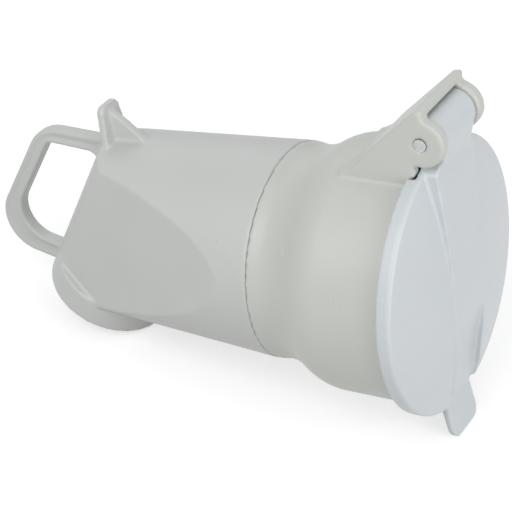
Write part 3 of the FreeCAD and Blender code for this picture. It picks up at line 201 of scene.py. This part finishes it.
def rounded_moulding(name, node, grid, passes, keep):
    """The solid of a node as one smooth skin, its edges rounded as a mould leaves them."""
    source = frame["nodes"][node]
    shell = bmesh.new()
    shell.from_mesh(source.data)
    bmesh.ops.remove_doubles(shell, verts=shell.verts, dist=1e-6)
    skin_mesh = bpy.data.meshes.new(name)
    shell.to_mesh(skin_mesh)
    shell.free()
    skin_mesh.materials.clear()
    moulding = bpy.data.objects.new(name, skin_mesh)
    bpy.context.scene.collection.objects.link(moulding)
    remesh = moulding.modifiers.new("skin", "REMESH")
    remesh.mode = "VOXEL"
    remesh.voxel_size = grid
    soften = moulding.modifiers.new("round_edges", "SMOOTH")
    soften.factor = 0.5
    soften.iterations = passes
    thin = moulding.modifiers.new("thin_out", "DECIMATE")
    thin.ratio = keep
    grown = bpy.data.meshes.new_from_object(
        moulding.evaluated_get(bpy.context.evaluated_depsgraph_get()))
    moulding.modifiers.clear()
    moulding.data = grown
    grown.name = name
    for face in grown.polygons:
        face.use_smooth = True
    return moulding


front_shell = rounded_moulding("front_shell", "front_housing", grid=0.00055, passes=6, keep=0.5)
front_plastic = moulded_plastic("front_plastic", (0.575, 0.59, 0.545), grain=0.10, shine=0.40)
front_shell.data.materials.append(front_plastic)
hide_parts("front_housing")
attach(front_shell, "housing")

# The contact carrier: a dark thermoset moulding in the socket, pressed at high heat, so its face
# is smooth and a little glossy, with pale flow marks. The carrier ring holds it by a shoulder.


def dark_moulding(name, colour, shine):
    """Filled dark plastic: pale flow clouds, small mineral specks and a slightly uneven gloss."""
    dark = bpy.data.materials.new(name)
    dark.use_nodes = True
    tree = dark.node_tree
    made, joined = tree.nodes, tree.links
    skin = made["Principled BSDF"]
    where = made.new("ShaderNodeTexCoord")
    flow = made.new("ShaderNodeTexNoise")
    flow.inputs["Scale"].default_value = 55
    flow.inputs["Detail"].default_value = 5
    flow.inputs["Distortion"].default_value = 0.8
    joined.new(where.outputs["Object"], flow.inputs["Vector"])
    tint = made.new("ShaderNodeValToRGB")
    tint.color_ramp.elements[0].color = (*[c * 0.75 for c in colour], 1)
    tint.color_ramp.elements[1].color = (*[c * 1.3 for c in colour], 1)
    joined.new(flow.outputs["Fac"], tint.inputs["Fac"])
    filler = made.new("ShaderNodeTexVoronoi")
    filler.inputs["Scale"].default_value = 1500
    joined.new(where.outputs["Object"], filler.inputs["Vector"])
    speck = made.new("ShaderNodeMapRange")
    speck.inputs["From Min"].default_value = 0.16
    speck.inputs["From Max"].default_value = 0.08
    speck.inputs["To Max"].default_value = 0.35
    joined.new(filler.outputs["Distance"], speck.inputs["Value"])
    flecked = made.new("ShaderNodeMix")
    flecked.data_type = "RGBA"
    joined.new(speck.outputs["Result"], flecked.inputs["Factor"])
    joined.new(tint.outputs["Color"], flecked.inputs["A"])
    flecked.inputs["B"].default_value = (*[min(1.0, c * 3) for c in colour], 1)
    joined.new(flecked.outputs["Result"], skin.inputs["Base Color"])
    gloss = made.new("ShaderNodeMapRange")
    gloss.inputs["To Min"].default_value = shine
    gloss.inputs["To Max"].default_value = shine + 0.18
    joined.new(flow.outputs["Fac"], gloss.inputs["Value"])
    joined.new(gloss.outputs["Result"], skin.inputs["Roughness"])
    bump = made.new("ShaderNodeBump")
    bump.inputs["Strength"].default_value = 0.15
    bump.inputs["Distance"].default_value = 0.00005
    joined.new(filler.outputs["Distance"], bump.inputs["Height"])
    joined.new(bump.outputs["Normal"], skin.inputs["Normal"])
    return dark


def finish_node(node, material):
    """Gives a node of the solid model its material."""
    for place in frame["nodes"][node].material_slots:
        place.material = material


carrier_thermoset = dark_moulding("carrier_thermoset", (0.016, 0.016, 0.018), shine=0.28)
finish_node("contact_carrier", carrier_thermoset)

# The carrier ring: a flat ring of dark plastic round the carrier, screwed to three bosses in the
# front shell, that holds the carrier's shoulder down.
ring_plastic = dark_moulding("ring_plastic", (0.035, 0.035, 0.038), shine=0.42)
finish_node("carrier_ring", ring_plastic)

# The carrier screws: three zinc plated steel screws through the ring into the bosses. Their
# threads are cut as one wound ridge each, up to the head.


def plated_steel(name, colour, shine, streak):
    """Plated or drawn steel: a clouded bright skin with fine streaks and dull handling spots."""
    steel = bpy.data.materials.new(name)
    steel.use_nodes = True
    tree = steel.node_tree
    made, joined = tree.nodes, tree.links
    skin = made["Principled BSDF"]
    skin.inputs["Metallic"].default_value = 1.0
    where = made.new("ShaderNodeTexCoord")
    longways = made.new("ShaderNodeMapping")
    longways.inputs["Scale"].default_value = (1.0, streak, streak)
    joined.new(where.outputs["Object"], longways.inputs["Vector"])
    drawn = made.new("ShaderNodeTexNoise")
    drawn.inputs["Scale"].default_value = 700
    drawn.inputs["Detail"].default_value = 3
    joined.new(longways.outputs["Vector"], drawn.inputs["Vector"])
    cloud = made.new("ShaderNodeTexNoise")
    cloud.inputs["Scale"].default_value = 240
    cloud.inputs["Detail"].default_value = 4
    joined.new(where.outputs["Object"], cloud.inputs["Vector"])
    tint = made.new("ShaderNodeValToRGB")
    tint.color_ramp.elements[0].position = 0.35
    tint.color_ramp.elements[0].color = (*[c * 0.7 for c in colour], 1)
    tint.color_ramp.elements[1].position = 0.65
    tint.color_ramp.elements[1].color = (*colour, 1)
    joined.new(cloud.outputs["Fac"], tint.inputs["Fac"])
    joined.new(tint.outputs["Color"], skin.inputs["Base Color"])
    gloss = made.new("ShaderNodeMapRange")
    gloss.inputs["To Min"].default_value = shine
    gloss.inputs["To Max"].default_value = shine + 0.2
    joined.new(drawn.outputs["Fac"], gloss.inputs["Value"])
    joined.new(gloss.outputs["Result"], skin.inputs["Roughness"])
    bump = made.new("ShaderNodeBump")
    bump.inputs["Strength"].default_value = 0.12
    bump.inputs["Distance"].default_value = 0.00003
    joined.new(drawn.outputs["Fac"], bump.inputs["Height"])
    joined.new(bump.outputs["Normal"], skin.inputs["Normal"])
    return steel


def node_lumps(node):
    """The separate solids of a node, each as an array of its corner points."""
    solid = bmesh.new()
    solid.from_mesh(frame["nodes"][node].data)
    bmesh.ops.remove_doubles(solid, verts=solid.verts, dist=1e-6)
    waiting = set(solid.verts)
    lumps = []
    while waiting:
        front = [waiting.pop()]
        lump = list(front)
        while front:
            near = {e.other_vert(v) for v in front for e in v.link_edges} & waiting
            waiting -= near
            front = list(near)
            lump += front
        lumps.append(np.array([v.co for v in lump]))
    solid.free()
    return lumps


def screw_lines(node, way):
    """For each screw of a node, the tip of its shank and the way to its head."""
    lines = []
    for points in node_lumps(node):
        middle = points.mean(axis=0)
        headwards = np.array(way(Vector(middle)).normalized())
        along = (points - middle) @ headwards
        aside = points - middle - np.outer(along, headwards)
        tip = points[along < along.min() + 1e-5]
        shank = np.linalg.norm(aside[along < along.min() + 1e-5], axis=1).max()
        lines.append((tip.mean(axis=0), headwards, shank))
    return lines


def thread_winder():
    """A node group that winds one ridge round each screw, at a point with its way to the head."""
    group = bpy.data.node_groups.new("thread_winder", "GeometryNodeTree")
    sockets = {}
    for name, kind in (("Screws", "NodeSocketGeometry"), ("Shank Radius", "NodeSocketFloat"),
                       ("Pitch", "NodeSocketFloat"), ("Length", "NodeSocketFloat"),
                       ("Finish", "NodeSocketMaterial")):
        sockets[name] = group.interface.new_socket(name, in_out="INPUT", socket_type=kind).identifier
    group.interface.new_socket("Threads", in_out="OUTPUT", socket_type="NodeSocketGeometry")
    made, joined = group.nodes, group.links
    given = made.new("NodeGroupInput")
    result = made.new("NodeGroupOutput")
    turns = made.new("ShaderNodeMath")
    turns.operation = "DIVIDE"
    joined.new(given.outputs["Length"], turns.inputs[0])
    joined.new(given.outputs["Pitch"], turns.inputs[1])
    winding = made.new("GeometryNodeCurveSpiral")
    winding.inputs["Resolution"].default_value = 24
    joined.new(turns.outputs[0], winding.inputs["Rotations"])
    joined.new(given.outputs["Shank Radius"], winding.inputs["Start Radius"])
    joined.new(given.outputs["Shank Radius"], winding.inputs["End Radius"])
    joined.new(given.outputs["Length"], winding.inputs["Height"])
    ridge_size = made.new("ShaderNodeMath")
    ridge_size.operation = "MULTIPLY"
    ridge_size.inputs[1].default_value = 0.12
    joined.new(given.outputs["Pitch"], ridge_size.inputs[0])
    ridge = made.new("GeometryNodeCurvePrimitiveCircle")
    ridge.inputs["Resolution"].default_value = 5
    joined.new(ridge_size.outputs[0], ridge.inputs["Radius"])
    wound = made.new("GeometryNodeCurveToMesh")
    wound.inputs["Fill Caps"].default_value = True
    joined.new(winding.outputs["Curve"], wound.inputs["Curve"])
    joined.new(ridge.outputs["Curve"], wound.inputs["Profile Curve"])
    way = made.new("GeometryNodeInputNamedAttribute")
    way.data_type = "FLOAT_VECTOR"
    way.inputs["Name"].default_value = "headwards"
    lean = made.new("FunctionNodeAlignRotationToVector")
    lean.axis = "Z"
    joined.new(way.outputs["Attribute"], lean.inputs["Vector"])
    spread = made.new("GeometryNodeInstanceOnPoints")
    joined.new(given.outputs["Screws"], spread.inputs["Points"])
    joined.new(wound.outputs["Mesh"], spread.inputs["Instance"])
    joined.new(lean.outputs["Rotation"], spread.inputs["Rotation"])
    whole = made.new("GeometryNodeRealizeInstances")
    joined.new(spread.outputs["Instances"], whole.inputs["Geometry"])
    coat = made.new("GeometryNodeSetMaterial")
    joined.new(whole.outputs["Geometry"], coat.inputs["Geometry"])
    joined.new(given.outputs["Finish"], coat.inputs["Material"])
    joined.new(coat.outputs["Geometry"], result.inputs["Threads"])
    return group, sockets


def wound_threads(name, node, way, lead, length, material):
    """The wound threads of all the screws of a node, as one piece that rides with them."""
    lines = screw_lines(node, way)
    tips = bpy.data.meshes.new(name)
    tips.from_pydata([tip for tip, _, _ in lines], [], [])
    ways = tips.attributes.new("headwards", "FLOAT_VECTOR", "POINT")
    ways.data.foreach_set("vector", np.concatenate([headwards for _, headwards, _ in lines]))
    threads = bpy.data.objects.new(name, tips)
    bpy.context.scene.collection.objects.link(threads)
    winder = threads.modifiers.new("winder", "NODES")
    winder.node_group, sockets = thread_winder()
    winder[sockets["Shank Radius"]] = float(lines[0][2])
    winder[sockets["Pitch"]] = lead
    winder[sockets["Length"]] = length
    winder[sockets["Finish"]] = material
    wound = bpy.data.meshes.new_from_object(
        threads.evaluated_get(bpy.context.evaluated_depsgraph_get()))
    threads.modifiers.clear()
    threads.data = wound
    wound.name = name
    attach(threads, "housing")


axis_way = pitched.to_3x3() @ Vector((1, 0, 0))
screw_zinc = plated_steel("screw_zinc", (0.62, 0.63, 0.64), shine=0.26, streak=1.0)
finish_node("carrier_screws", screw_zinc)
wound_threads("carrier_screw_threads", "carrier_screws", lambda at: axis_way,
              lead=0.0006, length=0.0072, material=screw_zinc)

# The five contacts: turned brass sleeves, split at the mouth so that they grip a pin, each with
# a terminal block behind. The turning leaves fine rings and handling leaves duller patches.


def turned_brass(name, colour, shine):
    """Turned brass: fine tool rings, a warm cloud of tarnish and a satin shine."""
    brass = bpy.data.materials.new(name)
    brass.use_nodes = True
    tree = brass.node_tree
    made, joined = tree.nodes, tree.links
    skin = made["Principled BSDF"]
    skin.inputs["Metallic"].default_value = 1.0
    where = made.new("ShaderNodeTexCoord")
    rings = made.new("ShaderNodeTexWave")
    rings.bands_direction = "X"
    rings.inputs["Scale"].default_value = 900
    rings.inputs["Distortion"].default_value = 0.6
    joined.new(where.outputs["Object"], rings.inputs["Vector"])
    tarnish = made.new("ShaderNodeTexNoise")
    tarnish.inputs["Scale"].default_value = 180
    tarnish.inputs["Detail"].default_value = 5
    joined.new(where.outputs["Object"], tarnish.inputs["Vector"])
    tint = made.new("ShaderNodeValToRGB")
    tint.color_ramp.elements[0].position = 0.38
    tint.color_ramp.elements[0].color = (*[c * f for c, f in zip(colour, (0.6, 0.5, 0.45))], 1)
    tint.color_ramp.elements[1].position = 0.62
    tint.color_ramp.elements[1].color = (*colour, 1)
    joined.new(tarnish.outputs["Fac"], tint.inputs["Fac"])
    joined.new(tint.outputs["Color"], skin.inputs["Base Color"])
    gloss = made.new("ShaderNodeMapRange")
    gloss.inputs["To Min"].default_value = shine
    gloss.inputs["To Max"].default_value = shine + 0.2
    joined.new(tarnish.outputs["Fac"], gloss.inputs["Value"])
    joined.new(gloss.outputs["Result"], skin.inputs["Roughness"])
    bump = made.new("ShaderNodeBump")
    bump.inputs["Strength"].default_value = 0.2
    bump.inputs["Distance"].default_value = 0.00002
    joined.new(rings.outputs["Fac"], bump.inputs["Height"])
    joined.new(bump.outputs["Normal"], skin.inputs["Normal"])
    return brass


contact_brass = turned_brass("contact_brass", (0.74, 0.53, 0.22), shine=0.24)
for contact in ("earth_contact", "neutral_contact", "line_1_contact", "line_2_contact",
                "line_3_contact"):
    finish_node(contact, contact_brass)

# The sleeve rings: five open rings, one round each split sleeve, that close it on a pin. They are
# bent from drawn spring steel wire, which leaves fine streaks along it.
spring_steel = plated_steel("spring_steel", (0.42, 0.42, 0.43), shine=0.22, streak=6.0)
finish_node("sleeve_rings", spring_steel)

# The terminal screws: five plated screws, one in the side of each terminal block, that clamp a
# core in it. They stand square to the socket's axis and point away from it.


def away_from_axis(at):
    """The way from the socket's axis out through a place, square to the axis."""
    from_axis = at - rest.translation
    return from_axis - axis_way * from_axis.dot(axis_way)


finish_node("terminal_screws", screw_zinc)
wound_threads("terminal_screw_threads", "terminal_screws", away_from_axis,
              lead=0.0007, length=0.0035, material=screw_zinc)

# The contact retainer: a plate of dark moulded plastic behind the carrier that traps the
# contacts, and the one plated screw in its middle that holds it there.
finish_node("contact_retainer", ring_plastic)
finish_node("retainer_screw", screw_zinc)
wound_threads("retainer_screw_thread", "retainer_screw", lambda at: -axis_way,
              lead=0.0008, length=0.0075, material=screw_zinc)

# The housing seal: a moulded ring of black rubber in the groove of the front shell's spigot. The
# rear shell squeezes it when it is pushed on.


def moulded_rubber(name, colour, shine):
    """Black or grey rubber: a dusty bloom in patches over a fine dull grain."""
    rubber = bpy.data.materials.new(name)
    rubber.use_nodes = True
    tree = rubber.node_tree
    made, joined = tree.nodes, tree.links
    skin = made["Principled BSDF"]
    where = made.new("ShaderNodeTexCoord")
    bloom = made.new("ShaderNodeTexNoise")
    bloom.inputs["Scale"].default_value = 120
    bloom.inputs["Detail"].default_value = 6
    joined.new(where.outputs["Object"], bloom.inputs["Vector"])
    tint = made.new("ShaderNodeValToRGB")
    tint.color_ramp.elements[0].position = 0.4
    tint.color_ramp.elements[0].color = (*colour, 1)
    tint.color_ramp.elements[1].position = 0.8
    tint.color_ramp.elements[1].color = (*[c * 2.2 for c in colour], 1)
    joined.new(bloom.outputs["Fac"], tint.inputs["Fac"])
    joined.new(tint.outputs["Color"], skin.inputs["Base Color"])
    gloss = made.new("ShaderNodeMapRange")
    gloss.inputs["To Min"].default_value = shine
    gloss.inputs["To Max"].default_value = shine + 0.2
    joined.new(bloom.outputs["Fac"], gloss.inputs["Value"])
    joined.new(gloss.outputs["Result"], skin.inputs["Roughness"])
    grain = made.new("ShaderNodeTexNoise")
    grain.inputs["Scale"].default_value = 3200
    joined.new(where.outputs["Object"], grain.inputs["Vector"])
    bump = made.new("ShaderNodeBump")
    bump.inputs["Strength"].default_value = 0.2
    bump.inputs["Distance"].default_value = 0.00004
    joined.new(grain.outputs["Fac"], bump.inputs["Height"])
    joined.new(bump.outputs["Normal"], skin.inputs["Normal"])
    return rubber


finish_node("housing_seal", moulded_rubber("seal_rubber", (0.012, 0.012, 0.012), shine=0.45))

# The rear shell: one injection moulding in pale grey plastic, a tapered tube with a flat on each
# side, a slanted cable outlet, a carrying loop and a small upright lug. Its edges are moulded
# round.
rear_shell = rounded_moulding("rear_shell", "rear_housing", grid=0.0005, passes=8, keep=0.42)
rear_plastic = moulded_plastic("rear_plastic", (0.575, 0.585, 0.565), grain=0.10, shine=0.42)
rear_shell.data.materials.append(rear_plastic)
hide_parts("rear_housing")
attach(rear_shell, "housing")

# The housing screws: two zinc plated steel screws underneath, through the rear shell into the
# spigot of the front one. Only their slotted heads show.
finish_node("housing_screws", screw_zinc)

# The cable gland in the outlet: a stamped steel washer, a rubber grommet that grips the cable and
# a nut of grey plastic, screwed in from below, that squeezes the grommet.
washer_steel = plated_steel("washer_steel", (0.60, 0.61, 0.62), shine=0.30, streak=1.0)
finish_node("gland_washer", washer_steel)
finish_node("cable_grommet", moulded_rubber("grommet_rubber", (0.016, 0.016, 0.016), shine=0.5))
gland_plastic = moulded_plastic("gland_plastic", (0.34, 0.35, 0.35), grain=0.10, shine=0.40)
finish_node("gland_nut", gland_plastic)

# The cable clamp: a moulded grey plastic saddle across the rear shell's outlet, held by two plated
# screws in the pillars beside it.
clamp_plastic = moulded_plastic("clamp_plastic", (0.42, 0.42, 0.41), grain=0.10, shine=0.45)
finish_node("cable_clamp", clamp_plastic)
finish_node("clamp_screws", screw_zinc)

# The lid gasket: a flat ring cut from grey rubber sheet, pressed into the lid. It closes on the
# collar's front edge.
finish_node("lid_gasket", moulded_rubber("gasket_rubber", (0.05, 0.05, 0.052), shine=0.5))

# The lid: a domed disc in pale plastic, a shade bluer and glossier than the shells. Its raised
# strip, hinge barrel and lifting tab are moulded with it.
lid_cover = rounded_moulding("lid_cover", "lid", grid=0.0004, passes=5, keep=0.45)
lid_plastic = moulded_plastic("lid_plastic", (0.61, 0.642, 0.663), grain=0.05, shine=0.33)
lid_cover.data.materials.append(lid_plastic)
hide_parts("lid")
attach(lid_cover, "lid")

# The lid spring: a coil wound from drawn spring steel, in the lid's barrel round the hinge pin. It
# holds the lid shut.
finish_node("lid_spring", spring_steel)

# The hinge pin: a ground steel pin with a dull nickel skin, pressed through both cheeks of the
# hood, with the lid's barrel turning on it.
finish_node("hinge_pin", plated_steel("pin_steel", (0.66, 0.67, 0.66), shine=0.38, streak=1.0))
